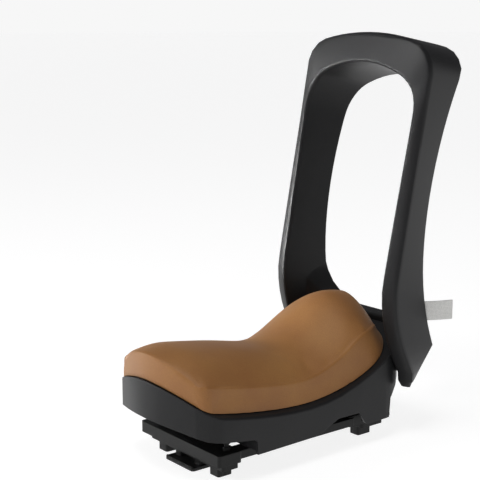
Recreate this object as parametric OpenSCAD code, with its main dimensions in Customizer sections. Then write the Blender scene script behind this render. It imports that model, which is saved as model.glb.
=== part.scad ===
// Rear seat for an older child, with a tall hoop backrest, for a bicycle carrier.
// Millimetres. +Z is up, the child looks towards -Y, and x = 0 is the middle plane.
// Every module works in seat coordinates, with y = 0 at the front corners of the shell.
// place() then moves the origin to the middle of the claw's underside.

/* [Seat shell] */
// Half width of the shell at its front
shell_half_w = 101; // [98:0.5:103]
// How much narrower each side is at the rear
shell_taper = 5; // [4:0.5:8]
// Length of the shell from front face to rear face
shell_len = 345; // [338:1:352]
// Corner radius at the front, seen from above
shell_front_r = 20; // [10:1:28]
// Corner radius at the rear, seen from above
shell_rear_r = 50; // [40:1:56]
// Height of the rim at the front corners
rim_front_z = 92; // [86:1:98]
// Height of the rim at its lowest point
rim_low_z = 70.5; // [68:0.5:76]
// Distance of that lowest point from the front face
rim_low_y = 155; // [140:1:170]
// Height of the rim at the rear
rim_rear_z = 141; // [130:1:146]
// How far the deck rises from its side edges to the middle
rim_crown = 27; // [15:1:32]
// How far the front face bows forward in the middle
nose_bow = 27; // [10:1:34]
// Wall thickness of the shell
shell_wall = 3.5; // [2.5:0.5:5]
// Thickness of the deck under the cushion
deck_t = 4; // [3:0.5:6]
// Rounding of the rim's outer edge
rim_r = 3; // [1:0.5:4]
// Thickness of the stiffening ribs under the deck
rib_t = 2.4; // [1.6:0.2:4]
// Height of the raised skirt edge at the front
skirt_front_z = 60; // [57:1:64]
// Height of the low skirt edge along the sides
skirt_low_z = 30; // [26:1:34]
// Height of the rear feet of the skirt
heel_foot_z = 27; // [24:1:30]
// Distance from the front face to the low part of the skirt
skirt_step_y = 70; // [66:1:76]

/* [Cushion] */
// Distance of the cushion's sides from the shell's sides
cushion_inset = 8; // [7:0.5:15]
// Distance of the cushion's front from the shell's front
cushion_front = 3; // [2:0.5:6]
// Distance of the cushion's rear from the shell's rear
cushion_back = 12; // [9:1:25]
// Height of the upright side band of the cushion
cushion_side_h = 35; // [28:1:42]
// How far the top rises from the side edges to the middle
cushion_crown = 34; // [18:1:36]
// Extra height of the hump at the rear
hump_h = 12; // [4:1:18]
// Gap around soft pieces held by the plastic
soft_gap = 0.3; // [0.2:0.1:0.5]
// Gap between the cushion's underside and the crowned deck
deck_gap = 1.1; // [1:0.1:1.4]

/* [Backrest hoop] */
// How far the front rim of the hoop stands out beside the shell
hoop_over = 18.5; // [16:0.5:22]
// How much narrower the hoop is on each side at its rear edge
hoop_draft = 15.5; // [13:0.5:17]
// How far the opening is wider than the shell on each side at the front rim
opening_over = 1; // [0:0.5:3]
// How much narrower the opening is on each side at its rear edge
opening_draft = 14; // [12:0.5:17]
// Height of the top of the hoop
hoop_top_z = 539.5; // [500:1:560]
// Width of the top band seen from the front
top_band = 40; // [32:1:46]
// Drop of the top band's upper face towards the rear
top_slope_drop = 13; // [8:0.5:24]
// Slope of the legs, rise of y for each mm of z
lean = 0.197; // [0.15:0.001:0.24]
// Distance of the foremost point of the legs from the shell's rear
leg_setback = 60.5; // [56:0.5:63]
// Height of that foremost point
leg_knee_z = 199; // [190:1:208]
// Depth of the legs where they are narrowest
leg_depth = 69.5; // [62:0.5:71]
// Height of the narrowest part of the legs
leg_waist_z = 235; // [225:1:245]
// Lowest point of the cheeks
cheek_tip_z = 68; // [66:0.5:74]
// Edge rounding along the front rim
lip_r = 8; // [4:0.5:9]
// Edge rounding along the rear edge
rear_lip_r = 4; // [2:0.5:6]
// Height of the crossbar's upper edge at the middle
crossbar_z = 152; // [146:1:158]
// Depth of the crossbar from front to rear
crossbar_t = 20; // [16:1:24]
// Height of the crossbar from its lower to its upper edge
crossbar_h = 46; // [38:1:52]
// Gap between the shell's rear wall and the crossbar
hoop_gap = 2; // [1.5:0.25:3]

/* [Carrier adapter] */
// How far the shell reaches out beside the front bar
bar_inset = 16; // [13:1:19]
// Distance of the front bar from the shell's front
bar_y = 22; // [20:1:26]
// Depth of the front bar
bar_depth = 36; // [34:1:40]
// Height of the adapter's upper face
bar_top_z = 34; // [33:0.5:35]
// Thickness of the front bar
bar_t = 14.5; // [12:0.5:15]
// Width of the side rails
rail_w = 20; // [14:1:24]
// Distance of the rear block's rear face from the shell's rear
block_setback = 36; // [35:1:39]
// Depth of the rear block
block_depth = 63; // [58:1:66]
// How much narrower the rear block is than the front bar on each side
block_inset = 7; // [5:1:8]
// Height of the feet's and the claw's underside
feet_z = -2; // [-4:0.5:0]
// Half width of the front claw
claw_half_w = 30; // [28:1:34]
// Thickness of the claw's plate
claw_t = 4; // [3.5:0.5:5]

/* [Fasteners and latch] */
// Shank diameter of the bolts that carry the shell
bolt_d = 5; // [4:0.5:6]
// Clearance around bolts and screws, on the diameter
hole_clear = 0.4; // [0.2:0.1:0.8]
// Distance of the shell bolts from the shell's sides
bolt_inset = 31; // [30.5:0.5:33]
// Distance of the front shell bolts from the shell's front
bolt_front_y = 45; // [43:1:47]
// Distance of the rear shell bolts from the shell's rear
bolt_setback = 83; // [81:1:85]
// Height of the bosses that the dampers stand under
boss_z = 56; // [54:1:58]
// Outer diameter of the rubber dampers
damper_d = 10; // [9:0.5:12]
// Height of the latch lever's pivot
pivot_z = 44; // [43:0.5:46]
// Diameter of the latch lever's pin
pin_d = 5; // [4:0.5:6]
// Running clearance around the pin, on the radius
pin_clear = 0.05; // [0.02:0.01:0.1]
// Half width of the latch bolt
latch_half_w = 14; // [12:1:16]
// Thickness of the latch bolt
latch_t = 8; // [7:0.5:9]
// How far the latch bolt stands out behind the rear block
latch_out = 9; // [8:0.5:11]
// Running clearance around the latch bolt
latch_clear = 0.3; // [0.2:0.05:0.5]
// Length of the lever's handle behind its pivot
handle_len = 34; // [28:1:38]

/* [Hidden] */

// Widths and lengths that follow from the shell's
hoop_half_w = shell_half_w + hoop_over;
hoop_rear_half_w = hoop_half_w - hoop_draft;
opening_half_w = shell_half_w + opening_over;
opening_rear_half_w = opening_half_w - opening_draft;
leg_front_y = shell_len - leg_setback;
bar_half_w = shell_half_w - bar_inset;
block_half_w = bar_half_w - block_inset;
block_rear_y = shell_len - block_setback;
bolt_x = shell_half_w - bolt_inset;
bolt_rear_y = shell_len - bolt_setback;
cushion_half_w = shell_half_w - cushion_inset;
cushion_rear = shell_len - cushion_back;

plastic = "#303032";
black = "#1c1c1d";
steel = "#b4b6b8";
rubber = "#151515";
tan_skin = "#93693f";

// The origin lies in the middle of the claw's underside
claw_len = 38;
origin_y = bar_y + claw_len / 2;
module place() {
    translate([0, -origin_y, -feet_z]) children();
}
// The forms of one moulded piece, joined into one skin
module moulded() {
    resize([0, 0, 0]) union() children();
}

// Small helpers
function clamp01(t) = min(1, max(0, t));
function lerp(a, b, t) = a + (b - a) * t;
function smooth(t) = let(c = clamp01(t)) c * c * (3 - 2 * c);

// Closed loft through sections that all have the same number of points.
// Every section runs anticlockwise when seen against the direction of travel.
module loft(sections) {
    n = len(sections);
    m = len(sections[0]);
    points = [for (s = sections) each s];
    sides = [for (i = [0 : n - 2]) for (j = [0 : m - 1])
        let(a = i * m + j, b = i * m + (j + 1) % m, c = a + m, d = b + m)
        each [[a, b, d], [a, d, c]]];
    first = [for (j = [m - 1 : -1 : 0]) j];
    last = [for (j = [0 : m - 1]) (n - 1) * m + j];
    polyhedron(points, concat([first], sides, [last]));
}

// Rounded corner of a section: a short curve from a to c that leans on b
function soften(a, b, c, r, steps = 3) =
    let(p = b + (a - b) * min(0.45, r / norm(a - b)), q = b + (c - b) * min(0.45, r / norm(c - b)))
    [for (k = [0 : steps]) let(t = k / steps) (1 - t) * (1 - t) * p + 2 * t * (1 - t) * b + t * t * q];

// Four corners turned into a rounded section
function rounded_quad(a, b, c, d, ra, rb, rc, rd) =
    concat(soften(d, a, b, ra), soften(a, b, c, rb), soften(b, c, d, rc), soften(c, d, a, rd));

// Plan of the shell and of what sits in it
function plan_half(y, front, rear, half_front, half_rear, rf, rr) =
    let(w = lerp(half_front, half_rear, clamp01((y - front) / (rear - front))),
        cf = max(0, front + rf - y), cr = max(0, y - (rear - rr)))
    w - (rf - sqrt(max(0, rf * rf - cf * cf))) - (rr - sqrt(max(0, rr * rr - cr * cr)));
function shell_half(y, inset = 0) =
    plan_half(y, inset, shell_len - inset, shell_half_w - inset, shell_half_w - shell_taper - inset,
        shell_front_r - inset, shell_rear_r - inset);
cushion_front_r = 10;
cushion_rear_r = 60;
function cushion_half(y) =
    plan_half(y, cushion_front, cushion_rear, cushion_half_w, cushion_half_w - shell_taper,
        cushion_front_r, cushion_rear_r);

// Stations along y: close together where the plan turns a corner
function stations(front, rear, rf, rr, between) = concat(
    [for (k = [0 : 3]) front + rf * (1 - cos(k * 30))],
    [for (k = [1 : between]) lerp(front + rf, rear - rr, k / (between + 1))],
    [for (k = [0 : 5]) rear - rr + rr * sin(k * 15)], [rear - 0.5]);

// The nose: the front bows forward, most in the middle, and fades out along the sides
function bulge(x, y) = 1 - pow(min(1, abs(x) / shell_half(max(y, shell_front_r))), 1.7);
function nose(x, y) = nose_bow * bulge(x, y) * (1 - smooth(y / 130));
function bowed(x, y, z) = [x, y - nose(x, y), z];

// Height of the rim along the sides, and of the crowned deck between them
function rim_side(y) = y < rim_low_y
    ? rim_low_z + (rim_front_z - rim_low_z) * pow(clamp01((rim_low_y - y) / rim_low_y), 1.7)
    : rim_low_z + (rim_rear_z - rim_low_z) * pow((y - rim_low_y) / (shell_len - rim_low_y), 2);
function deck_z(x, y) = rim_side(y) + rim_crown * bulge(x, y) * (1 - smooth((y - 170) / 160));

// A slab between two grids of points: rows run from front to rear, each row from +X to -X
module slab(top, bottom) {
    rows = len(top);
    cols = len(top[0]);
    count = rows * cols;
    points = concat([for (r = top) each r], [for (r = bottom) each r]);
    function at(i, j) = i * cols + j;
    // Two triangles between an edge of the top and the same edge of the bottom
    function wall(a, b) = [[a, b, count + b], [a, count + b, count + a]];
    skin = [for (i = [0 : rows - 2]) for (j = [0 : cols - 2])
        let(a = at(i, j), b = at(i, j + 1), c = at(i + 1, j), d = at(i + 1, j + 1))
        each [[a, b, d], [a, d, c], [count + a, count + d, count + b], [count + a, count + c, count + d]]];
    flanks = [for (i = [0 : rows - 2]) each concat(wall(at(i, 0), at(i + 1, 0)),
        wall(at(i + 1, cols - 1), at(i, cols - 1)))];
    ends = [for (j = [0 : cols - 2]) each concat(wall(at(0, j + 1), at(0, j)),
        wall(at(rows - 1, j), at(rows - 1, j + 1)))];
    polyhedron(points, concat(skin, flanks, ends));
}

// The shell's outside, or with an inset and a drop the space inside it
columns = 6;
edge_fall = [[0, 1], [0.3, 0.3], [1, 0]];
function across(w, r) = concat([for (e = edge_fall) [w - r * e[0], -r * e[1]]],
    [for (k = [1 : columns - 1]) [(w - r) * (1 - 2 * k / columns), 0]],
    [for (k = [2 : -1 : 0]) [-w + r * edge_fall[k][0], -r * edge_fall[k][1]]]);
module shell_solid(inset, drop, r) {
    ys = stations(inset, shell_len - inset, shell_front_r - inset, shell_rear_r - inset, 9);
    top = [for (y = ys) [for (p = across(shell_half(y, inset), r))
        bowed(p[0], y, deck_z(p[0], y) - drop + p[1])]];
    slab(top, [for (row = top) [for (p = row) [p[0], p[1], 0]]]);
}

// Side view of what is cut away under the skirt
arch_y = shell_len - 171;
foot_y = shell_len - 89;
foot_end_y = shell_len - 42;
module skirt_cut() {
    far = shell_half_w + 20;
    translate([-far, 0, 0]) rotate([90, 0, 90]) linear_extrude(2 * far)
        polygon([[-60, -5], [-60, skirt_front_z + 24], [0, skirt_front_z],
            [skirt_step_y - 3, skirt_front_z - 10], [skirt_step_y, skirt_front_z - 13],
            [skirt_step_y + 1, skirt_low_z], [arch_y, skirt_low_z + 1],
            [arch_y + 16, skirt_low_z + 9], [arch_y + 34, skirt_low_z + 16],
            [foot_y - 10, skirt_low_z + 15.5], [foot_y, heel_foot_z + 3], [foot_y + 5, heel_foot_z],
            [foot_end_y, heel_foot_z], [foot_end_y + 2.5, skirt_low_z + 24],
            [foot_end_y + 15, skirt_low_z + 36], [shell_len + 5, skirt_low_z + 62], [shell_len + 5, -5]]);
}

// The slanted outer face of each rear foot
foot_flare = 2;
module rear_foot_wedge() {
    w = shell_half_w - shell_taper;
    translate([0, foot_end_y, 0]) rotate([90, 0, 0]) linear_extrude(foot_end_y - foot_y - 2)
        polygon([[w - 8, skirt_low_z + 21], [w - 1.5, skirt_low_z + 21],
            [w + foot_flare - 1.5, heel_foot_z + 4], [w + foot_flare - 3, heel_foot_z],
            [w - 8, heel_foot_z]]);
}

plate_t = 4;
nut_af = 1.6 * bolt_d;
boss_r = nut_af / 2 + 3.5;
thread_clear = 0.1;
crossbar_bolt_x = 30;
crossbar_bolt_z = crossbar_z - crossbar_h + 11;
cheek_screw_y = leg_front_y + 41;
cheek_screw_z = 94;
cheek_face_x = shell_half_w - shell_taper - 4;
cheek_seat_x = cheek_face_x - 14;
screw_d = 4;
module at_shell_bolts() {
    for (x = [-bolt_x, bolt_x], y = [bolt_front_y, bolt_rear_y]) translate([x, y, 0]) children();
}
module at_crossbar_bolts() {
    for (x = [-crossbar_bolt_x, crossbar_bolt_x]) translate([x, 0, crossbar_bolt_z]) children();
}

// Ribs and bosses that stand under the deck, before they are trimmed to the shell
rib_x = bolt_x - 28;
deck_top_z = rim_rear_z + rim_crown;
cross_ribs = [for (k = [0 : 3]) 112 + (bolt_rear_y - 22 - 112) * k / 3];
rib_bottom_z = skirt_low_z + 16;
module under_deck() {
    intersection() {
        shell_solid(1, 1, rim_r);
        union() {
            for (x = [-rib_x, rib_x])
                translate([x - rib_t / 2, skirt_step_y, rib_bottom_z]) cube([rib_t, shell_len, deck_top_z]);
            for (y = concat(cross_ribs, [bolt_rear_y + 20]))
                translate([-shell_half_w, y, rib_bottom_z + 2]) cube([2 * shell_half_w, rib_t, deck_top_z]);
            translate([-shell_half_w, skirt_step_y, skirt_low_z + 4])
                cube([2 * shell_half_w, shell_wall, deck_top_z]);
            translate([-shell_half_w, 2, boss_z]) cube([2 * shell_half_w, skirt_step_y, plate_t]);
            at_shell_bolts() translate([0, 0, boss_z]) cylinder(h = deck_top_z, r = boss_r, $fn = 32);
            at_crossbar_bolts() translate([0, shell_len, 0]) rotate([90, 0, 0])
                cylinder(h = 22, r = 8, $fn = 32);
            at_cheek_screws() cylinder(h = 30, r = 8, $fn = 32);
        }
    }
}
// Local z points outward from the face that the screw's washer sits on
module at_cheek_screws() {
    for (s = [-1, 1])
        translate([s * cheek_seat_x, cheek_screw_y, cheek_screw_z]) rotate([0, s * 90, 0]) children();
}

module shell_form() {
    difference() {
        union() {
            difference() {
                shell_solid(0, 0, rim_r);
                shell_solid(shell_wall, deck_t, rim_r);
            }
            under_deck();
            at_cheek_screws() translate([0, 0, 4])
                cylinder(h = cheek_face_x - cheek_seat_x - 4, r = 8, $fn = 32);
            intersection() {
                both_sides() rear_foot_wedge();
                translate([-shell_half_w - 10, 0, 0]) cube([2 * shell_half_w + 20, shell_len, 100]);
            }
        }
        skirt_cut();
        translate([-shell_half_w - 1, -60, -1]) cube([2 * shell_half_w + 2, shell_len + 70, 2]);
        at_shell_bolts() translate([0, 0, boss_z + plate_t])
            cylinder(h = 90, d = nut_af / cos(30) + hole_clear, $fn = 6);
        at_cheek_screws() translate([0, 0, -12]) cylinder(h = 12, r = 7, $fn = 24);
        at_studs() translate([0, 0, -10]) cylinder(h = 20, d = stud_d + hole_clear, $fn = 24);
    }
}
module seat_shell() {
    color(plastic) place() difference() {
        moulded() shell_form();
        at_shell_bolts() translate([0, 0, boss_z - 1])
            cylinder(h = plate_t + 2, d = bolt_d + hole_clear, $fn = 48);
        at_crossbar_bolts() translate([0, shell_len + 5, 0]) rotate([90, 0, 0])
            cylinder(h = 26, d = screw_in_d + thread_clear, $fn = 48);
        at_cheek_screws() translate([0, 0, -1])
            cylinder(h = cheek_face_x - cheek_seat_x + 2, d = screw_d + hole_clear, $fn = 48);
    }
}

// Studs that hold the cushion down, square to the sloping deck
stud_d = 7;
stud_seat = 0.6;
stud_front = [bolt_x - 20, bolt_front_y + 17];
stud_rear = [bolt_x - 12, bolt_rear_y - 40];
stud_places = [for (p = [stud_front, stud_rear], s = [-1, 1]) [s * p[0], p[1]]];
module at_studs() {
    for (p = stud_places) let(x = p[0], y = p[1], slope_x = (deck_z(x + 1, y) - deck_z(x - 1, y)) / 2,
        slope_y = (deck_z(x, y + 1) - deck_z(x, y - 1)) / 2)
        translate(bowed(x, y, deck_z(x, y))) rotate([atan(slope_y), -atan(slope_x), 0]) children();
}

// The top of the cushion: a crowned saddle with a hump at the rear
function cushion_edge(y) =
    let(u = y - rim_low_y)
    rim_low_z + cushion_side_h
    + (y < rim_low_y ? 24 * pow(clamp01(-u / rim_low_y), 1.5) : 44 * pow(clamp01(u / 108), 1.9));
function cushion_rise(y) = cushion_crown * (0.76 + 0.24 * smooth(y / 40)) * (1 - 0.22 * smooth((y - 80) / 90))
    + hump_h * smooth((y - 172) / 75) * (1 - 0.6 * smooth((y - 275) / 70));
edge_r = 5;
top_columns = 10;
side_draft = 3.5;
rear_draft = 12;
tail_len = 32;
tail_h = 7;
function cushion_draft(y) = side_draft + rear_draft * smooth((y - cushion_rear + 85) / 70);
function cushion_across(y, w) =
    let(t = w - cushion_draft(y), tail = pow(clamp01((y - (cushion_rear - tail_len)) / tail_len), 2),
        front_drop = 2 * pow(1 - clamp01((y - cushion_front) / 5), 2),
        top = lerp(cushion_edge(y) - front_drop, deck_z(t, y) + deck_gap + tail_h, tail),
        rise = cushion_rise(y) * (1 - 0.6 * tail),
        fullness = 1.8 + 1.1 * smooth(y / 35) * (1 - smooth((y - 140) / 70)))
    concat([for (k = [0 : 3]) let(a = k * 30) [t - edge_r * (1 - cos(a)), top - edge_r * (1 - sin(a))]],
        [for (k = [1 : top_columns - 1]) let(f = 1 - 2 * k / top_columns)
            [(t - edge_r) * f, top + rise * (1 - pow(abs(f), fullness))]],
        [for (k = [3 : -1 : 0]) let(a = k * 30) [-t + edge_r * (1 - cos(a)), top - edge_r * (1 - sin(a))]]);
// A shallow notch in the lower edge on each side, to lift the cushion by
notch_y = 232;
notch_len = 13;
notch_h = 2.6;
notch_depth = 6;
module notch() {
    slope = atan(rim_side(notch_y + 1) - rim_side(notch_y));
    translate([cushion_half(notch_y) - notch_depth, notch_y, rim_side(notch_y)]) rotate([slope, 0, 0])
        translate([0, -notch_len / 2, -1]) cube([2 * notch_depth, notch_len, notch_h + deck_gap + 1]);
}
module cushion() {
    ys = stations(cushion_front, cushion_rear, cushion_front_r, cushion_rear_r, 12);
    color(tan_skin) place() difference() {
        slab([for (y = ys) [for (p = cushion_across(y, cushion_half(y))) bowed(p[0], y, p[1])]],
            [for (y = ys) let(w = cushion_half(y)) [for (p = cushion_across(y, w))
                let(x = p[0] * w / (w - cushion_draft(y))) bowed(x, y, deck_z(x, y) + deck_gap)]]);
        at_studs() translate([0, 0, -5]) cylinder(h = 5 + 9, d = stud_d + 2 * soft_gap, $fn = 48);
        both_sides() notch();
    }
}

module cushion_studs() {
    color(black) place() at_studs() {
        translate([0, 0, -deck_t - stud_seat - 3]) cylinder(h = 3, d = stud_d + 5, $fn = 48);
        translate([0, 0, -deck_t - stud_seat]) cylinder(h = deck_t + stud_seat + 8, d = stud_d, $fn = 48);
    }
}

// Rails of the hoop. A rail goes up one leg, round the corner and over the crown.
// side: half width, r: corner radius, tilt: slope where crown and corner meet, top: height
split_z = 410;
function crown_run(side, r, tilt) = side - r + r * sin(tilt);
function crown_drop(side, r, tilt) = crown_run(side, r, tilt) * tan(tilt) / 2;
function corner_z(side, r, tilt, top) = top - crown_drop(side, r, tilt) - r * cos(tilt);
function rail_corner(side, r, tilt, top, t) =
    let(cz = corner_z(side, r, tilt, top), straight = cz - split_z,
        arc = r * (90 - tilt) * PI / 180, d = t * (straight + arc))
    d < straight ? [side, split_z + d]
        : let(a = (d - straight) / r * 180 / PI) [side - r + r * cos(a), cz + r * sin(a)];
function rail_crown(side, r, tilt, top, t) =
    let(run = crown_run(side, r, tilt), x = run * (1 - t))
    [x, top - crown_drop(side, r, tilt) * pow(x / run, 2)];
leg_steps = 19;
corner_steps = 9;
crown_steps = 5;
function leg_z(i) = cheek_tip_z + (split_z - cheek_tip_z) * pow(i / leg_steps, 1.25);
function rail(side, r, tilt, top, i) =
    i <= leg_steps ? [side, leg_z(i)]
    : i <= leg_steps + corner_steps ? rail_corner(side, r, tilt, top, (i - leg_steps) / corner_steps)
    : rail_crown(side, r, tilt, top, (i - leg_steps - corner_steps) / crown_steps);

// Side view of the hoop: where its front rim and its rear edge lie at each height
tip_front_y = leg_front_y + 36;
function rim_outer_y(z) = z > leg_knee_z
    ? leg_front_y + lean * (sqrt(pow(min(z, hoop_top_z - 54) - leg_knee_z, 2) + 144) - 12)
    : min(tip_front_y, leg_front_y + 0.003 * pow(leg_knee_z - z, 2));
function rim_inner_y(z) = z > leg_knee_z
    ? leg_front_y - 5.5 + lean * (sqrt(pow(min(z, hoop_top_z - 75) - leg_knee_z, 2) + 144) - 12)
    : min(tip_front_y - 6, leg_front_y - 5.5 + 0.0028 * pow(leg_knee_z - z, 2));
heel_z = 114;
heel_rise = 25;
heel_y = leg_front_y + leg_depth + heel_rise;
function rear_y(z) = z > leg_waist_z
    ? leg_front_y + leg_depth + 64 * pow((min(z, hoop_top_z - 54) - leg_waist_z) / 250, 1.9)
    : z > heel_z ? leg_front_y + leg_depth + heel_rise * pow((leg_waist_z - z) / (leg_waist_z - heel_z), 2)
    : heel_y - 0.86 * (heel_z - z) - 3 * smooth((heel_z - z) / 6);

// Sections of the hoop from the tip of one cheek to the crown
function inner_side(z) = lerp(opening_half_w - 5, opening_half_w, clamp01((z - leg_knee_z) / 220));
function tip_round(z) = 5 * pow(1 - clamp01((z - cheek_tip_z) / 6), 2);
function hoop_section(i) =
    let(fo = rail(hoop_half_w, 46, 12.8, hoop_top_z, i),
        fi = rail(i <= leg_steps ? inner_side(leg_z(i)) : opening_half_w, 51.4, 23.4,
            hoop_top_z - top_band - 0.4, i),
        ri = rail(opening_rear_half_w, 49.5, 25.8, hoop_top_z - top_band - 20.5, i),
        ro = rail(hoop_rear_half_w, 35, 13, hoop_top_z - top_slope_drop, i),
        e = tip_round(fo[1]))
    rounded_quad([fo[0] - e, rim_outer_y(fo[1]) + e, fo[1]], [fi[0] + e / 2, rim_inner_y(fi[1]) + e, fi[1]],
        [ri[0] + e / 2, rear_y(ri[1]) - e, ri[1]], [ro[0] - e, rear_y(ro[1]) - e, ro[1]],
        lip_r, lip_r * 0.7, rear_lip_r, rear_lip_r);
last_station = leg_steps + corner_steps + crown_steps;
module hoop_band() {
    half = [for (i = [0 : last_station]) hoop_section(i)];
    // The far half runs back down from the crown, so its points are mirrored one by one
    far = [for (i = [last_station - 1 : -1 : 0]) [for (p = half[i]) [-p[0], p[1], p[2]]]];
    loft(concat(half, far));
}

// The crossbar closes the hoop behind the cushion and blends into both legs
fillet_r = 62;
function crossbar_top(x, side) =
    let(d = max(0, abs(x) - (side - fillet_r)))
    crossbar_z + fillet_r - sqrt(max(0, fillet_r * fillet_r - d * d));
function crossbar_front_at(x) =
    let(w = shell_half_w - shell_taper, d = max(0, abs(x) - (w - shell_rear_r)), r = shell_rear_r + hoop_gap)
    shell_len - shell_rear_r + sqrt(max(0, r * r - d * d));
crossbar_front_y = shell_len + hoop_gap;
crossbar_rear_y = crossbar_front_y + crossbar_t;
function crossbar_section(x) =
    let(f = crossbar_front_at(x), zt = crossbar_top(x, opening_rear_half_w),
        zf = crossbar_top(x * opening_rear_half_w / inner_side(0), opening_rear_half_w) - 4,
        zb = crossbar_z - crossbar_h, blend = smooth((abs(x) - 40) / 45))
    rounded_quad([x, f, zb], [x, lerp(crossbar_rear_y, rear_y(zb) - 1, blend), zb],
        [x, lerp(crossbar_rear_y, rear_y(zt) - 1, blend), zt], [x, f, zf], 3, 5, 5, 4);
module crossbar() {
    reach = inner_side(0) - 1.5;
    steps = 20;
    loft([for (i = [0 : steps]) crossbar_section(reach * sin(90 * (1 - 2 * i / steps)))]);
}

bolt_head_h = 0.65 * bolt_d;
bolt_head_d = 1.6 * bolt_d;
key_depth = 2.5;
washer_t = 1.6;
washer_d = 2 * bolt_d;
pocket_y = crossbar_rear_y - bolt_head_h - washer_t;
screw_in_d = bolt_d - 0.4;
module hoop_form() {
    difference() {
        union() {
            hoop_band();
            crossbar();
            at_cheek_screws() translate([0, 0, cheek_face_x - cheek_seat_x + hoop_seat_gap])
                cylinder(h = 8, r = 8, $fn = 32);
        }
        at_tag() translate([-1, -tag_t / 2 - soft_gap, -soft_gap])
            cube([tag_inset + 8, tag_t + 2 * soft_gap, tag_h + 2 * soft_gap]);
        at_crossbar_bolts() translate([0, pocket_y + 20, 0]) rotate([90, 0, 0])
            cylinder(h = 20, d = washer_d + 1, $fn = 32);
        at_crossbar_bolts() translate([0, pocket_y + 1, 0]) rotate([90, 0, 0])
            cylinder(h = 40, d = bolt_d + hole_clear, $fn = 24);
        at_cheek_screws() translate([0, 0, cheek_face_x - cheek_seat_x - 1])
            cylinder(h = cheek_thread + 2, d = cheek_shank_d + thread_clear, $fn = 24);
    }
}
module backrest_hoop() {
    color(plastic) place() moulded() hoop_form();
}

module crossbar_bolts() {
    color(steel) place() at_crossbar_bolts() translate([0, pocket_y + washer_t, 0]) rotate([90, 0, 0]) {
        difference() {
            translate([0, 0, -bolt_head_h]) cylinder(h = bolt_head_h, d = bolt_head_d, $fn = 48);
            translate([0, 0, -bolt_head_h - 1]) cylinder(h = key_depth + 1, d = 0.85 * bolt_d, $fn = 6);
        }
        cylinder(h = pocket_y + washer_t - shell_len + 16, d = screw_in_d, $fn = 48);
    }
}

// Flat ring under a bolt's head
module washer(outer_d, inner_d) {
    difference() {
        cylinder(h = washer_t, d = outer_d, $fn = 48);
        translate([0, 0, -1]) cylinder(h = washer_t + 2, d = inner_d, $fn = 48);
    }
}
module crossbar_washers() {
    color(steel) place() at_crossbar_bolts() translate([0, pocket_y + washer_t, 0]) rotate([90, 0, 0])
        washer(washer_d, bolt_d + hole_clear);
}

// Screws that hold the cheeks, put in from inside the shell
hoop_seat_gap = 0.05;
cheek_thread = 13;
cheek_shank_d = screw_d - 0.4;
module cheek_screws() {
    color(steel) place() at_cheek_screws() {
        difference() {
            translate([0, 0, -washer_t - 4]) cylinder(h = 4, d = 2 * screw_d, $fn = 48);
            translate([0, 0, -washer_t - 5]) cylinder(h = 3.2, d = 0.7 * screw_d, $fn = 6);
        }
        translate([0, 0, -washer_t])
            cylinder(h = cheek_face_x - cheek_seat_x + washer_t + cheek_thread - 1,
                d = cheek_shank_d, $fn = 48);
    }
}

module cheek_washers() {
    color(steel) place() at_cheek_screws() translate([0, 0, -washer_t])
        washer(2.6 * screw_d, screw_d + hole_clear);
}

// The woven tag: a folded ribbon whose ends sit in a slot in the leg's rear edge
tag_t = 2.4;
tag_h = 27;
tag_len = 46;
tag_inset = 6;
tag_wall = 0.8;
module at_tag() {
    tag_z = 153;
    translate([hoop_rear_half_w - 8, rear_y(tag_z + tag_h / 2) - tag_inset, tag_z])
        rotate([0, 0, 60]) children();
}
module woven_tag() {
    color("#b0afac") place() at_tag() linear_extrude(tag_h) difference() {
        union() {
            translate([0, -tag_t / 2]) square([tag_len - tag_t / 2, tag_t]);
            translate([tag_len - tag_t / 2, 0]) circle(d = tag_t, $fn = 32);
        }
        translate([-1, -tag_t / 2 + tag_wall]) square([tag_len - tag_t / 2, tag_t - 2 * tag_wall]);
    }
}

// Flat block with rounded upright corners
module block(x0, x1, y0, y1, z0, z1, r = 3) {
    translate([0, 0, z0]) linear_extrude(z1 - z0) {
        translate([x0 + r, y0]) square([x1 - x0 - 2 * r, y1 - y0]);
        translate([x0, y0 + r]) square([x1 - x0, y1 - y0 - 2 * r]);
        for (x = [x0 + r, x1 - r], y = [y0 + r, y1 - r]) translate([x, y]) circle(r = r, $fn = 32);
    }
}
module both_sides() {
    children();
    mirror([1, 0, 0]) children();
}

// Adapter: front bar with a step and two feet, rails, ladder bars and the rear block
bar_z = bar_top_z - bar_t;
step_z = 10;
step_y = bar_y + 11;
bar_rear_y = bar_y + bar_depth;
block_y = block_rear_y - block_depth;
block_z = 13;
block_low_y = block_rear_y - 40;
rail_out = bar_half_w - 5;
rail_z = bar_z + 2;
foot_in = 46;
foot_out = 65;
rear_foot_y = block_rear_y - 34;
rear_foot_len = 24;
pivot_y = block_rear_y - 6;
ear_in = 20;
ear_t = 6;
cover_t = 3;
latch_z = block_z + cover_t;
latch_rear_y = block_rear_y + latch_out;
latch_len = 52;
channel_y = latch_rear_y - latch_len - 14;
finger_half_w = 5;
claw_screw_x = 20.5;
claw_thread = 13;
claw_screw_y = bar_y + 26;
cover_half_w = 24;
cover_screw_x = 19;
cover_gap = 0.2;
cover_shank_d = screw_d - 1.4;
cover_thread = 10;
cover_screw_ys = [block_y + 8, block_rear_y - 8];
module at_claw_screws() {
    for (x = [-claw_screw_x, claw_screw_x]) translate([x, claw_screw_y, 0]) children();
}
module at_cover_screws() {
    for (x = [-cover_screw_x, cover_screw_x], y = cover_screw_ys) translate([x, y, 0]) children();
}
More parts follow.
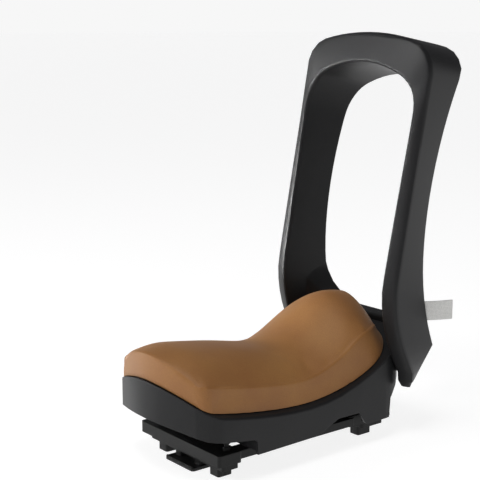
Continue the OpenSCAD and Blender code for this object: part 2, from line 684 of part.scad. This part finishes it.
module adapter_frame() {
    color(black) place() difference() {
        union() {
            block(-bar_half_w, bar_half_w, bar_y, bar_rear_y, bar_z, bar_top_z, 4);
            block(-bar_half_w + 7, bar_half_w - 7, step_y, bar_rear_y, step_z, bar_z + 1);
            both_sides() {
                block(foot_in, foot_out, step_y + 3, bar_rear_y, feet_z, step_z + 1);
                block(rail_out - rail_w, rail_out, bar_rear_y - 8, block_y + 8, rail_z, bar_top_z - 2);
                block(foot_in + 2, foot_out, rear_foot_y, rear_foot_y + rear_foot_len, feet_z, block_z + 1);
            }
            for (y = [118, 186]) block(-rail_out + 6, rail_out - 6, y, y + 14, rail_z, bar_top_z - 4);
            block(-block_half_w, block_half_w, block_y, block_rear_y, bar_z, bar_top_z, 4);
            block(-block_half_w, block_half_w, block_low_y, block_rear_y, block_z, bar_z + 1, 4);
            block(-cover_half_w - 4, cover_half_w + 4, block_y, block_rear_y, block_z, bar_z + 1, 4);
            both_sides() translate([ear_in, 0, 0]) rotate([90, 0, 90]) linear_extrude(ear_t) {
                translate([pivot_y, pivot_z]) circle(r = 6, $fn = 48);
                translate([pivot_y - 6, bar_top_z - 1]) square([12, pivot_z - bar_top_z + 1]);
            }
        }
        // Holes for the four shell bolts, with seats for their heads from below
        at_shell_bolts() {
            translate([0, 0, -1]) cylinder(h = bar_top_z + 2, d = bolt_d + hole_clear, $fn = 48);
            translate([0, 0, -1]) cylinder(h = bar_top_z - 10 + 1, d = washer_d + 1, $fn = 48);
        }
        // Hollows that lighten the rear block and the rails from below
        both_sides()
            block(30, foot_in - 2, block_y + 5, block_rear_y - 5, block_z - 1, bar_top_z - 4);
        both_sides() for (k = [0 : 3]) translate([rail_out - rail_w / 2, 84 + 42 * k, rail_z - 1])
            cylinder(h = bar_t, r = rail_w / 2 - 5, $fn = 48);
        // Channel of the latch bolt and its spring, and the slot for the lever's finger
        translate([-latch_half_w - latch_clear, channel_y, block_z - 1])
            cube([2 * (latch_half_w + latch_clear), block_rear_y - channel_y + 1,
                cover_t + latch_t + latch_clear + 1]);
        block(-cover_half_w - cover_gap, cover_half_w + cover_gap, block_y + 2 - cover_gap,
            block_rear_y + 5, block_z - 1, latch_z);
        translate([-finger_half_w - 1.5, pivot_y - 13, block_z])
            cube([2 * finger_half_w + 3, 16.5, bar_top_z]);
        translate([0, pivot_y, pivot_z]) rotate([0, 90, 0])
            cylinder(h = 80, d = pin_d, center = true, $fn = 48);
        at_claw_screws() translate([0, 0, step_z - 1])
            cylinder(h = claw_thread + 2, d = cheek_shank_d + thread_clear, $fn = 48);
        at_cover_screws() translate([0, 0, latch_z - 1])
            cylinder(h = cover_thread + 2, d = cover_shank_d + thread_clear, $fn = 48);
    }
}

// Front claw: a plate on two webs, open to the front for the carrier's cross tube
web_in = 14;
web_out = 27;
web_y = bar_y + 14;
claw_sink = 3;
module front_claw() {
    color(black) place() difference() {
        union() {
            block(-claw_half_w, claw_half_w, bar_y, bar_y + claw_len, feet_z, feet_z + claw_t, 4);
            block(-claw_half_w + 2, claw_half_w - 2, bar_y + 0.6, bar_y + 3.6,
                feet_z + claw_t - 1, feet_z + claw_t + 1.5, 1.4);
            both_sides() block(web_in, web_out, web_y, bar_y + claw_len, feet_z + claw_t - 1, step_z, 2);
        }
        at_claw_screws() {
            translate([0, 0, feet_z - 1])
                cylinder(h = step_z - feet_z + 2, d = screw_d + hole_clear, $fn = 48);
            translate([0, 0, feet_z - 1])
                cylinder(h = claw_sink + 1, d = 2 * screw_d + 0.6, $fn = 48);
        }
    }
}

module claw_screws() {
    color(steel) place() at_claw_screws() {
        difference() {
            translate([0, 0, feet_z + 0.4]) cylinder(h = claw_sink - 0.4, d = 2 * screw_d, $fn = 48);
            translate([0, 0, feet_z]) cylinder(h = 2, d = 0.7 * screw_d, $fn = 6);
        }
        translate([0, 0, feet_z + claw_sink])
            cylinder(h = step_z + claw_thread - feet_z - claw_sink, d = cheek_shank_d, $fn = 48);
    }
}

// Bolts that carry the shell: head up in the adapter, damper, plate or boss, nut
head_seat_z = bar_top_z - 10;
module shell_bolts() {
    color(steel) place() at_shell_bolts() {
        difference() {
            translate([0, 0, head_seat_z - washer_t - bolt_head_h])
                cylinder(h = bolt_head_h, d = bolt_head_d, $fn = 48);
            translate([0, 0, head_seat_z - washer_t - bolt_head_h - 1])
                cylinder(h = key_depth + 1, d = 0.85 * bolt_d, $fn = 6);
        }
        translate([0, 0, head_seat_z - washer_t])
            cylinder(h = boss_z + plate_t + nut_h + 1 - head_seat_z + washer_t, d = bolt_d, $fn = 48);
    }
}

module bolt_washers() {
    color(steel) place() at_shell_bolts() translate([0, 0, head_seat_z - washer_t])
        washer(washer_d, bolt_d + hole_clear);
}

nut_h = 0.8 * bolt_d;
module shell_nuts() {
    color(steel) place() at_shell_bolts() translate([0, 0, boss_z + plate_t]) difference() {
        cylinder(h = nut_h, d = nut_af / cos(30), $fn = 6);
        translate([0, 0, -1]) cylinder(h = nut_h + 2, d = bolt_d, $fn = 48);
    }
}

// Rubber dampers: ribbed sleeves between adapter and shell
module dampers() {
    damper_h = boss_z - bar_top_z;
    ring = damper_h / 5;
    color(rubber) place() at_shell_bolts() translate([0, 0, bar_top_z]) difference() {
        union() {
            cylinder(h = damper_h, d = damper_d - 4, $fn = 48);
            for (k = [0, 2, 4]) translate([0, 0, k * ring]) cylinder(h = ring, d = damper_d, $fn = 48);
        }
        translate([0, 0, -1]) cylinder(h = damper_h + 2, d = bolt_d + hole_clear, $fn = 48);
    }
}

// Release lever: barrel on the pin, handle to the rear, finger down into the latch bolt
barrel_r = pin_d / 2 + 2.4;
barrel_x0 = -ear_in + 0.4;
barrel_x1 = ear_in - 6.4;
finger_r = 3;
finger_z = latch_z + latch_t / 2 - 0.5;
shank_half = 1.3;
handle_half_w = 24;
handle_t = 4;
module release_lever() {
    color(black) place() translate([0, pivot_y, pivot_z]) difference() {
        union() {
            translate([barrel_x0, 0, 0]) rotate([0, 90, 0])
                cylinder(h = barrel_x1 - barrel_x0, r = barrel_r, $fn = 48);
            translate([barrel_x0 + 1, 0, -handle_t / 2]) cube([barrel_x1 - barrel_x0 - 2, 14, handle_t]);
            block(-handle_half_w, handle_half_w, 11, handle_len, -handle_t / 2, handle_t / 2, 6);
            translate([-handle_half_w + 6, handle_len - 4, -7]) cube([2 * handle_half_w - 12, 3.5, 8]);
            for (x = [-14, 0, 9]) translate([x - 1, 0, -handle_t / 2 - 2]) cube([2, handle_len - 6, 3]);
            translate([-finger_half_w, -shank_half, finger_z - pivot_z])
                cube([2 * finger_half_w, 2 * shank_half, pivot_z - finger_z]);
            translate([-finger_half_w, 0, finger_z - pivot_z]) rotate([0, 90, 0])
                cylinder(h = 2 * finger_half_w, r = finger_r, $fn = 48);
        }
        rotate([0, 90, 0]) cylinder(h = 90, r = pin_d / 2 + pin_clear, center = true, $fn = 48);
    }
}

module lever_pin() {
    reach = ear_in + ear_t;
    color(steel) place() translate([0, pivot_y, pivot_z]) rotate([0, 90, 0]) {
        translate([0, 0, -reach]) cylinder(h = 2 * reach + 1, d = pin_d, $fn = 48);
        translate([0, 0, -reach - 1.6]) cylinder(h = 1.6, d = pin_d + 3, $fn = 48);
    }
}

// Coil of round wire along z, swept as a loft of small rings
module coil(radius, wire_d, height, turns) {
    n = ceil(turns * 12);
    sides = 6;
    loft([for (i = [0 : n]) let(a = 360 * turns * i / n, z = height * i / n)
        [for (k = [0 : sides - 1]) let(b = 360 * k / sides, r = radius + wire_d / 2 * cos(b))
            [r * cos(a), r * sin(a), z + wire_d / 2 * sin(b)]]]);
}
module lever_spring() {
    wire = 1;
    room = ear_in - barrel_x1;
    color(steel) place() translate([barrel_x1 + 0.9, pivot_y, pivot_z]) rotate([0, 90, 0])
        coil(pin_d / 2 + 1.4, wire, room - 1.8, 3);
}

// Latch bolt: slides in the rear block and hooks under the carrier's rear tube
spring_d = 7;
spring_wire = 0.9;
spring_pocket = 5;
module latch_bolt() {
    y0 = latch_rear_y - latch_len;
    color(black) place() difference() {
        union() {
            translate([-latch_half_w, y0, latch_z])
                cube([2 * latch_half_w, latch_len - 5, latch_t - latch_clear]);
            translate([latch_half_w, latch_rear_y, latch_z])
                rotate([90, 0, -90]) linear_extrude(2 * latch_half_w)
                polygon([[0, latch_t - latch_clear], [6, latch_t - latch_clear], [6, 0], [5, 0], [0, 5]]);
        }
        translate([-finger_half_w - 0.6, pivot_y - finger_r - latch_clear, latch_z - 1])
            cube([2 * finger_half_w + 1.2, 2 * (finger_r + latch_clear), latch_t + 2]);
        translate([0, y0 - 1, latch_z + (latch_t - latch_clear) / 2]) rotate([-90, 0, 0])
            cylinder(h = spring_pocket + 1, d = 7.2, $fn = 48);
    }
}
module latch_spring() {
    reach = latch_rear_y - latch_len + spring_pocket - channel_y;
    axis_z = latch_z + (latch_t - latch_clear) / 2;
    color(steel) place() translate([0, channel_y + spring_wire / 2 + 0.1, axis_z]) rotate([-90, 0, 0])
        coil((spring_d - spring_wire) / 2 - 0.3, spring_wire, reach - spring_wire - 0.2, 5);
}

// Cover that closes the latch channel from below
cover_sink = 1.8;
module latch_cover() {
    color(black) place() difference() {
        block(-cover_half_w, cover_half_w, block_y + 2, block_rear_y, block_z, latch_z - cover_gap / 4, 3);
        at_cover_screws() {
            translate([0, 0, block_z - 1])
                cylinder(h = cover_t + 2, d = cover_shank_d + hole_clear, $fn = 48);
            translate([0, 0, block_z - 1])
                cylinder(h = cover_sink + 1, d = 1.6 * screw_d + hole_clear, $fn = 48);
        }
    }
}
module cover_screws() {
    color(steel) place() at_cover_screws() {
        translate([0, 0, block_z]) cylinder(h = cover_sink, d = 1.6 * screw_d, $fn = 48);
        translate([0, 0, block_z + cover_sink])
            cylinder(h = cover_t - cover_sink + cover_thread, d = cover_shank_d, $fn = 48);
    }
}

seat_shell();
cushion();
cushion_studs();
backrest_hoop();
crossbar_bolts();
crossbar_washers();
cheek_screws();
cheek_washers();
woven_tag();
adapter_frame();
front_claw();
claw_screws();
shell_bolts();
bolt_washers();
dampers();
shell_nuts();
release_lever();
lever_pin();
lever_spring();
latch_bolt();
latch_spring();
latch_cover();
cover_screws();
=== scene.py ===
import math

import bmesh
import bpy
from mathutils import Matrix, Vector


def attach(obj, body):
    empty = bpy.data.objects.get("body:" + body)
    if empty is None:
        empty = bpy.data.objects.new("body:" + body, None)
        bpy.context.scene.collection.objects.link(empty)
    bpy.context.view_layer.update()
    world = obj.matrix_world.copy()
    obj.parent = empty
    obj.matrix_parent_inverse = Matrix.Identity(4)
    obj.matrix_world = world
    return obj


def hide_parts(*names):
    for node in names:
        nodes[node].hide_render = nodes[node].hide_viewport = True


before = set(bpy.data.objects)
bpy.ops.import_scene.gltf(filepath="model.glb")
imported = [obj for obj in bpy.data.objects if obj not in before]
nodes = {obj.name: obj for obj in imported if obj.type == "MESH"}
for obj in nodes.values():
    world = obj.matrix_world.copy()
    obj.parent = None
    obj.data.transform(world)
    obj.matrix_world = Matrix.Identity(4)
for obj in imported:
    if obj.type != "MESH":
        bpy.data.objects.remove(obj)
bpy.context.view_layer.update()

# --- Camera ----------------------------------------------------------------------
# A long lens from the front right corner of the seat, a little above the middle of the
# backrest, as the product photograph is taken.
turn, tilt = math.radians(51.55), math.radians(10.63)
look = Vector((-math.sin(turn) * math.cos(tilt), math.cos(turn) * math.cos(tilt), -math.sin(tilt)))
camera_data = bpy.data.cameras.new("photo_camera")
camera_data.lens = 86.32
camera_data.sensor_width = 36.0
camera_data.clip_start = 0.05
camera = bpy.data.objects.new("photo_camera", camera_data)
camera.location = (1.13264, -0.8186, 0.55064)
camera.rotation_euler = look.to_track_quat("-Z", "Y").to_euler()
bpy.context.collection.objects.link(camera)
bpy.context.scene.camera = camera

# --- Seat shell --------------------------------------------------------------------
# The tub that carries everything: one injection moulding in dark grey polypropylene.
# Its tool is spark eroded, so the skin has a fine even grain and a soft sheen.


def linear(hex_colour):
    channels = [int(hex_colour[i:i + 2], 16) / 255 for i in (1, 3, 5)]
    return tuple(c / 12.92 if c <= 0.04045 else ((c + 0.055) / 1.055) ** 2.4 for c in channels) + (1.0,)


def start_material(name, **values):
    material = bpy.data.materials.new(name)
    material.use_nodes = True
    shader = material.node_tree.nodes["Principled BSDF"]
    for socket, value in values.items():
        shader.inputs[socket.replace("_", " ")].default_value = value
    return material, material.node_tree, shader


def add(tree, kind, settings=None, links=None):
    """One node with its settings, each on a property or a socket, and its links."""
    node = tree.nodes.new(kind)
    for name, value in (settings or {}).items():
        if isinstance(name, int) or name in node.inputs:
            node.inputs[name].default_value = value
        else:
            setattr(node, name, value)
    for name, source in (links or {}).items():
        tree.links.new(source, node.inputs[name])
    return node


def two_tones(tree, source, low, high, first, last):
    ramp = add(tree, "ShaderNodeValToRGB", links={"Fac": source})
    ends = ramp.color_ramp.elements
    ends[0].position, ends[0].color = low, first
    ends[1].position, ends[1].color = high, last
    return ramp.outputs["Color"]


def moulded_plastic(name, dark, light, ior, roughness, grain_scale, grain_depth, edge):
    """Moulded plastic: grain in the skin, faint flow marks, and edges with a small radius."""
    # The eroded skin breaks up about half of what a polished one would reflect
    material, tree, shader = start_material(name, IOR=ior, Specular_IOR_Level=0.22)
    place = add(tree, "ShaderNodeTexCoord").outputs["Object"]
    grain = add(tree, "ShaderNodeTexNoise", {"Scale": grain_scale, "Detail": 3.0, "Roughness": 0.6},
                {"Vector": place}).outputs["Fac"]
    flow = add(tree, "ShaderNodeTexNoise", {"Scale": 11.0, "Detail": 5.0, "Distortion": 0.4},
               {"Vector": place}).outputs["Fac"]
    tone = two_tones(tree, flow, 0.34, 0.68, linear(dark), linear(light))
    speck = two_tones(tree, grain, 0.3, 0.7, (0.84, 0.84, 0.84, 1), (1.14, 1.14, 1.14, 1))
    colour = add(tree, "ShaderNodeMix", {"data_type": "RGBA", "blend_type": "MULTIPLY", 0: 1.0},
                 {6: tone, 7: speck}).outputs[2]
    sheen = add(tree, "ShaderNodeMapRange", {"To Min": roughness - 0.05, "To Max": roughness + 0.08},
                {"Value": flow}).outputs["Result"]
    corner = add(tree, "ShaderNodeBevel", {"samples": 4, "Radius": edge}).outputs["Normal"]
    skin = add(tree, "ShaderNodeBump", {"Strength": 0.25, "Distance": grain_depth},
               {"Height": grain, "Normal": corner}).outputs["Normal"]
    tree.links.new(colour, shader.inputs["Base Color"])
    tree.links.new(sheen, shader.inputs["Roughness"])
    tree.links.new(skin, shader.inputs["Normal"])
    return material


# The grain is about 0.5 mm wide in reality and is drawn at 1.2 mm so that it shows
moulded_pp = moulded_plastic("moulded_polypropylene", "#1b1b1c", "#212122", ior=1.49, roughness=0.38,
                             grain_scale=830.0, grain_depth=0.00025, edge=0.0012)


sharp_from = math.radians(32)


def merged_copy(source, name):
    """The node's own form as one closed skin in a mesh of its own."""
    mesh = nodes[source].data.copy()
    mesh.name = name
    form = bmesh.new()
    form.from_mesh(mesh)
    bmesh.ops.remove_doubles(form, verts=form.verts, dist=0.00002)
    bmesh.ops.dissolve_degenerate(form, edges=form.edges, dist=0.00001)
    return mesh, form


def finish_copy(mesh, form, name, material):
    """Faces shaded smooth, with a hard edge where two of them meet at more than sharp_from."""
    for face in form.faces:
        face.smooth = True
    for edge in form.edges:
        edge.smooth = len(edge.link_faces) == 2 and edge.calc_face_angle(0) < sharp_from
    form.to_mesh(mesh)
    form.free()
    piece = bpy.data.objects.new(name, mesh)
    bpy.context.collection.objects.link(piece)
    dress(piece, material)
    return piece


def dress(piece, *materials):
    piece.data.materials.clear()
    for material in materials:
        piece.data.materials.append(material)


mesh, form = merged_copy("seat_shell", "moulded_shell")
shell = finish_copy(mesh, form, "moulded_shell", moulded_pp)
shell.modifiers.new("even_shading", "WEIGHTED_NORMAL").keep_sharp = True
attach(shell, "seat")
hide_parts("seat_shell")

# --- Cushion -------------------------------------------------------------------------
# One piece of moulded foam with a tight tan skin, matt, with a fine leather grain. The
# mould gives it a crisp upper edge and the thick hump behind the child.
crease_from = math.radians(24)
swell_limit = 0.0012
mesh, form = merged_copy("cushion", "foam_cushion")
bmesh.ops.join_triangles(form, faces=form.faces, angle_face_threshold=crease_from,
                         angle_shape_threshold=math.radians(60))
crease = form.edges.layers.float.new("crease_edge")
for edge in form.edges:
    if len(edge.link_faces) != 2 or edge.calc_face_angle(0) > crease_from:
        edge[crease] = 0.8
for face in form.faces:
    face.smooth = True
form.to_mesh(mesh)
form.free()
cushion = bpy.data.objects.new("foam_cushion", mesh)
bpy.context.collection.objects.link(cushion)
rounded = cushion.modifiers.new("rounded", "SUBSURF")
rounded.levels = rounded.render_levels = 2
bpy.context.view_layer.objects.active = cushion
cushion.select_set(True)
bpy.ops.object.modifier_apply(modifier="rounded")
# The foam presses out against its skin: the faces swell a little between the edges
start = [v.co.copy() for v in cushion.data.vertices]
held = cushion.vertex_groups.new(name="held")
held.add([v.index for v in cushion.data.vertices if v.normal.z < -0.5], 1.0, "REPLACE")
cloth = cushion.modifiers.new("swell", "CLOTH")
cloth.settings.vertex_group_mass = "held"
cloth.settings.use_pressure = True
cloth.settings.uniform_pressure_force = 4.0
cloth.settings.effector_weights.gravity = 0
cloth.settings.tension_stiffness = cloth.settings.compression_stiffness = 40
cloth.settings.quality = 4
for step in range(1, 21):
    bpy.context.scene.frame_set(step)
bpy.ops.object.modifier_apply(modifier="swell")
bpy.context.scene.frame_set(1)
for vertex, first in zip(cushion.data.vertices, start):
    move = vertex.co - first
    if move.length > swell_limit:
        vertex.co = first + move.normalized() * swell_limit
finer = cushion.modifiers.new("finer", "SUBSURF")
finer.levels = finer.render_levels = 1

foam_skin, tree, shader = start_material("integral_foam_skin", IOR=1.48, Sheen_Weight=0.06,
                                         Sheen_Roughness=0.6)
place = add(tree, "ShaderNodeTexCoord").outputs["Object"]
# The pebbles of the grain are about 0.6 mm wide, drawn at 1.4 mm
pebble = add(tree, "ShaderNodeTexVoronoi", {"feature": "SMOOTH_F1", "Scale": 710.0, "Smoothness": 0.6},
             {"Vector": place}).outputs["Distance"]
fine = add(tree, "ShaderNodeTexNoise", {"Scale": 1000.0, "Detail": 2.0}, {"Vector": place}).outputs["Fac"]
cloud = add(tree, "ShaderNodeTexNoise", {"Scale": 12.0, "Detail": 4.0}, {"Vector": place}).outputs["Fac"]
tone = two_tones(tree, cloud, 0.32, 0.7, linear("#8c5b28"), linear("#9c6c34"))
speck = two_tones(tree, fine, 0.3, 0.7, (0.86, 0.86, 0.86, 1), (1.1, 1.1, 1.1, 1))
colour = add(tree, "ShaderNodeMix", {"data_type": "RGBA", "blend_type": "MULTIPLY", 0: 1.0},
             {6: tone, 7: speck}).outputs[2]
rough = add(tree, "ShaderNodeMapRange", {"To Min": 0.52, "To Max": 0.66}, {"Value": cloud}).outputs["Result"]
skin = add(tree, "ShaderNodeBump", {"Strength": 0.35, "Distance": 0.0003},
           {"Height": pebble}).outputs["Normal"]
tree.links.new(colour, shader.inputs["Base Color"])
tree.links.new(rough, shader.inputs["Roughness"])
tree.links.new(skin, shader.inputs["Normal"])
dress(cushion, foam_skin)
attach(cushion, "seat")
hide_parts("cushion")

# --- Backrest -------------------------------------------------------------------------
# A tall hollow hoop moulded in the same polypropylene as the shell. Its front rim is a
# full round lip, and its cheeks are screwed to the sides of the shell.
mesh, form = merged_copy("backrest_hoop", "moulded_backrest")
hoop = finish_copy(mesh, form, "moulded_backrest", moulded_pp)
hoop.modifiers.new("even_shading", "WEIGHTED_NORMAL").keep_sharp = True
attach(hoop, "seat")
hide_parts("backrest_hoop")

# --- Woven tag -------------------------------------------------------------------------
# A light grey ribbon in plain weave, folded double and held by its ends in a slot in the
# leg. Its back face is coloured near black, so the open fold shows dark.
tag_start = Vector((0.0950, 0.3133, 0.155))
tag_along = Vector((math.cos(math.radians(60)), math.sin(math.radians(60)), 0.0))
tag_out = Vector((tag_along.y, -tag_along.x, 0.0))
tag_length, tag_height, tag_gap, ribbon_t = 0.0488, 0.027, 0.0021, 0.0006
form = bmesh.new()
rings = []
outline = [(0.001 + (tag_length - 0.003) * k / 9, 1) for k in range(10)]
outline += [(tag_length - 0.002 + 0.002 * math.sin(math.radians(a)), math.cos(math.radians(a)))
            for a in (30, 60, 90, 120, 150)]
outline += [(along, -1) for along, _ in outline[9::-1]]
for along, side in outline:
    spread = tag_gap / 2 * side * (0.55 + 0.45 * along / tag_length)
    sway = 0.0011 * math.sin(along / tag_length * 3.0)
    foot = tag_start + tag_along * along + tag_out * (spread + sway)
    rings.append([form.verts.new(foot + Vector((0, 0, tag_height * k / 6 - 0.0004 * math.sin(along * 90))))
                  for k in range(7)])
for here, there in zip(rings, rings[1:]):
    for k in range(6):
        form.faces.new((here[k], here[k + 1], there[k + 1], there[k]))
bmesh.ops.recalc_face_normals(form, faces=form.faces)
if next(iter(form.faces)).normal.dot(tag_out) < 0:
    bmesh.ops.reverse_faces(form, faces=form.faces)
for face in form.faces:
    face.smooth = True
tag_mesh = bpy.data.meshes.new("folded_tag")
form.to_mesh(tag_mesh)
form.free()
tag = bpy.data.objects.new("folded_tag", tag_mesh)
bpy.context.collection.objects.link(tag)
ribbon = tag.modifiers.new("ribbon", "SOLIDIFY")
ribbon.thickness, ribbon.offset, ribbon.material_offset = ribbon_t, -1, 1
softer = tag.modifiers.new("softer", "SUBSURF")
softer.levels = softer.render_levels = 2


def woven(name, low, high):
    """Plain weave: warp and weft threads that cross, each a small ridge."""
    material, tree, shader = start_material(name, Roughness=0.85, Sheen_Weight=0.25, Sheen_Roughness=0.5)
    place = add(tree, "ShaderNodeTexCoord").outputs["Object"]
    turned = add(tree, "ShaderNodeMapping", {"Rotation": (0.0, 0.0, math.radians(-60))}, {"Vector": place})
    # The threads lie about 0.4 mm apart and are drawn 0.9 mm apart
    ridges = [add(tree, "ShaderNodeTexWave", {"Scale": 175.0, "bands_direction": way, "Distortion": 0.6,
                                              "Detail": 2.0},
                  {"Vector": turned.outputs["Vector"]}).outputs["Fac"]
              for way in ("X", "Z")]
    cross = add(tree, "ShaderNodeMath", {"operation": "MULTIPLY"},
                {0: ridges[0], 1: ridges[1]}).outputs["Value"]
    fuzz = add(tree, "ShaderNodeTexNoise", {"Scale": 1500.0, "Detail": 2.0}, {"Vector": place}).outputs["Fac"]
    tone = two_tones(tree, cross, 0.0, 0.8, linear(low), linear(high))
    speck = two_tones(tree, fuzz, 0.3, 0.7, (0.8, 0.8, 0.8, 1), (1.15, 1.15, 1.15, 1))
    colour = add(tree, "ShaderNodeMix", {"data_type": "RGBA", "blend_type": "MULTIPLY", 0: 1.0},
                 {6: tone, 7: speck}).outputs[2]
    ridge = add(tree, "ShaderNodeBump", {"Strength": 0.6, "Distance": 0.0004},
                {"Height": cross}).outputs["Normal"]
    tree.links.new(colour, shader.inputs["Base Color"])
    tree.links.new(ridge, shader.inputs["Normal"])
    return material


# Front face light grey; back face near black, which darkens the open fold
dress(tag, woven("woven_ribbon", "#d2d2cf", "#f4f3f0"), woven("woven_ribbon_back", "#1a1a1a", "#262626"))
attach(tag, "seat")
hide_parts("woven_tag")

# --- Adapter, claw, cover, lever, latch bolt and studs -------------------------------------
# Black glass-filled nylon, moulded in an eroded tool: darker and rougher than the shell.
# They clip the seat to the carrier.
nylon = moulded_plastic("glass_filled_nylon", "#121212", "#1a1a1a", ior=1.53, roughness=0.5,
                        grain_scale=700.0, grain_depth=0.0003, edge=0.0007)
for name in ("adapter_frame", "front_claw", "latch_cover", "release_lever", "latch_bolt", "cushion_studs"):
    dress(nodes[name], nylon)

# --- Bolts, washers, nuts, screws, pin and springs --------------------------------------------
# Zinc plated steel: bright, slightly blue, with the fine marks of rolling and turning.
zinc, tree, shader = start_material("zinc_plated_steel", Metallic=1.0)
place = add(tree, "ShaderNodeTexCoord").outputs["Object"]
marks = add(tree, "ShaderNodeTexNoise", {"Scale": 600.0, "Detail": 2.0}, {"Vector": place}).outputs["Fac"]
tone = two_tones(tree, marks, 0.3, 0.7, linear("#b2b6ba"), linear("#cdd0d2"))
rough = add(tree, "ShaderNodeMapRange", {"To Min": 0.25, "To Max": 0.42}, {"Value": marks}).outputs["Result"]
corner = add(tree, "ShaderNodeBevel", {"samples": 4, "Radius": 0.0003}).outputs["Normal"]
tree.links.new(tone, shader.inputs["Base Color"])
tree.links.new(rough, shader.inputs["Roughness"])
tree.links.new(corner, shader.inputs["Normal"])
for name in ("crossbar_bolts", "crossbar_washers", "cheek_screws", "cheek_washers", "claw_screws",
             "shell_bolts", "bolt_washers", "shell_nuts", "lever_pin", "lever_spring", "latch_spring",
             "cover_screws"):
    dress(nodes[name], zinc)

# --- Rubber dampers -----------------------------------------------------------------------------
# Ribbed sleeves of black natural rubber, moulded: matt, with a little dust in the skin.
rubber, tree, shader = start_material("moulded_rubber", Roughness=0.75)
place = add(tree, "ShaderNodeTexCoord").outputs["Object"]
dust = add(tree, "ShaderNodeTexNoise", {"Scale": 500.0, "Detail": 3.0}, {"Vector": place}).outputs["Fac"]
tone = two_tones(tree, dust, 0.3, 0.7, linear("#0f0f0f"), linear("#191919"))
tree.links.new(tone, shader.inputs["Base Color"])
dress(nodes["dampers"], rubber)

# --- Floor and light ------------------------------------------------------------------------------
# A plain pale floor that runs to the horizon, a large soft key from the front left, a soft
# lamp overhead, and a low narrow one on the left that draws the rim of the backrest.
form = bmesh.new()
bmesh.ops.create_grid(form, x_segments=1, y_segments=1, size=60.0)
floor_mesh = bpy.data.meshes.new("studio_floor")
form.to_mesh(floor_mesh)
form.free()
floor = bpy.data.objects.new("studio_floor", floor_mesh)
bpy.context.collection.objects.link(floor)
paper, tree, shader = start_material("white_paper", Roughness=0.95, Emission_Strength=0.86)
shader.inputs["Base Color"].default_value = linear("#8c8c8c")
shader.inputs["Emission Color"].default_value = (1, 1, 1, 1)
dress(floor, paper)

for name, spot, aim, power, size, spread in (
        ("key", (-1.2, -1.9, 1.5), (0.0, 0.1, 0.25), 25.0, 0.8, 180),
        ("top", (0.3, -0.7, 2.4), (0.0, 0.1, 0.2), 25.0, 0.9, 180),
        ("rim", (-1.8, -0.9, 0.3), (0.05, 0.3, 0.42), 1.2, 0.3, 30)):
    lamp_data = bpy.data.lights.new(name, "AREA")
    lamp_data.energy, lamp_data.size, lamp_data.spread = power, size, math.radians(spread)
    lamp = bpy.data.objects.new(name, lamp_data)
    lamp.location = spot
    lamp.rotation_euler = (Vector(aim) - Vector(spot)).to_track_quat("-Z", "Y").to_euler()
    bpy.context.collection.objects.link(lamp)
world = bpy.data.worlds.new("studio")
world.use_nodes = True
tree = world.node_tree
direction = add(tree, "ShaderNodeTexCoord").outputs["Generated"]
# The backdrop is pale above the horizon and dark overhead, as in a studio
height = add(tree, "ShaderNodeSeparateXYZ", links={"Vector": direction}).outputs["Z"]
sky = two_tones(tree, height, 0.05, 0.16, (0.93, 0.93, 0.93, 1), (0.15, 0.15, 0.155, 1))
tree.links.new(sky, tree.nodes["Background"].inputs["Color"])
bpy.context.scene.world = world
bpy.context.scene.view_settings.view_transform = "Standard"
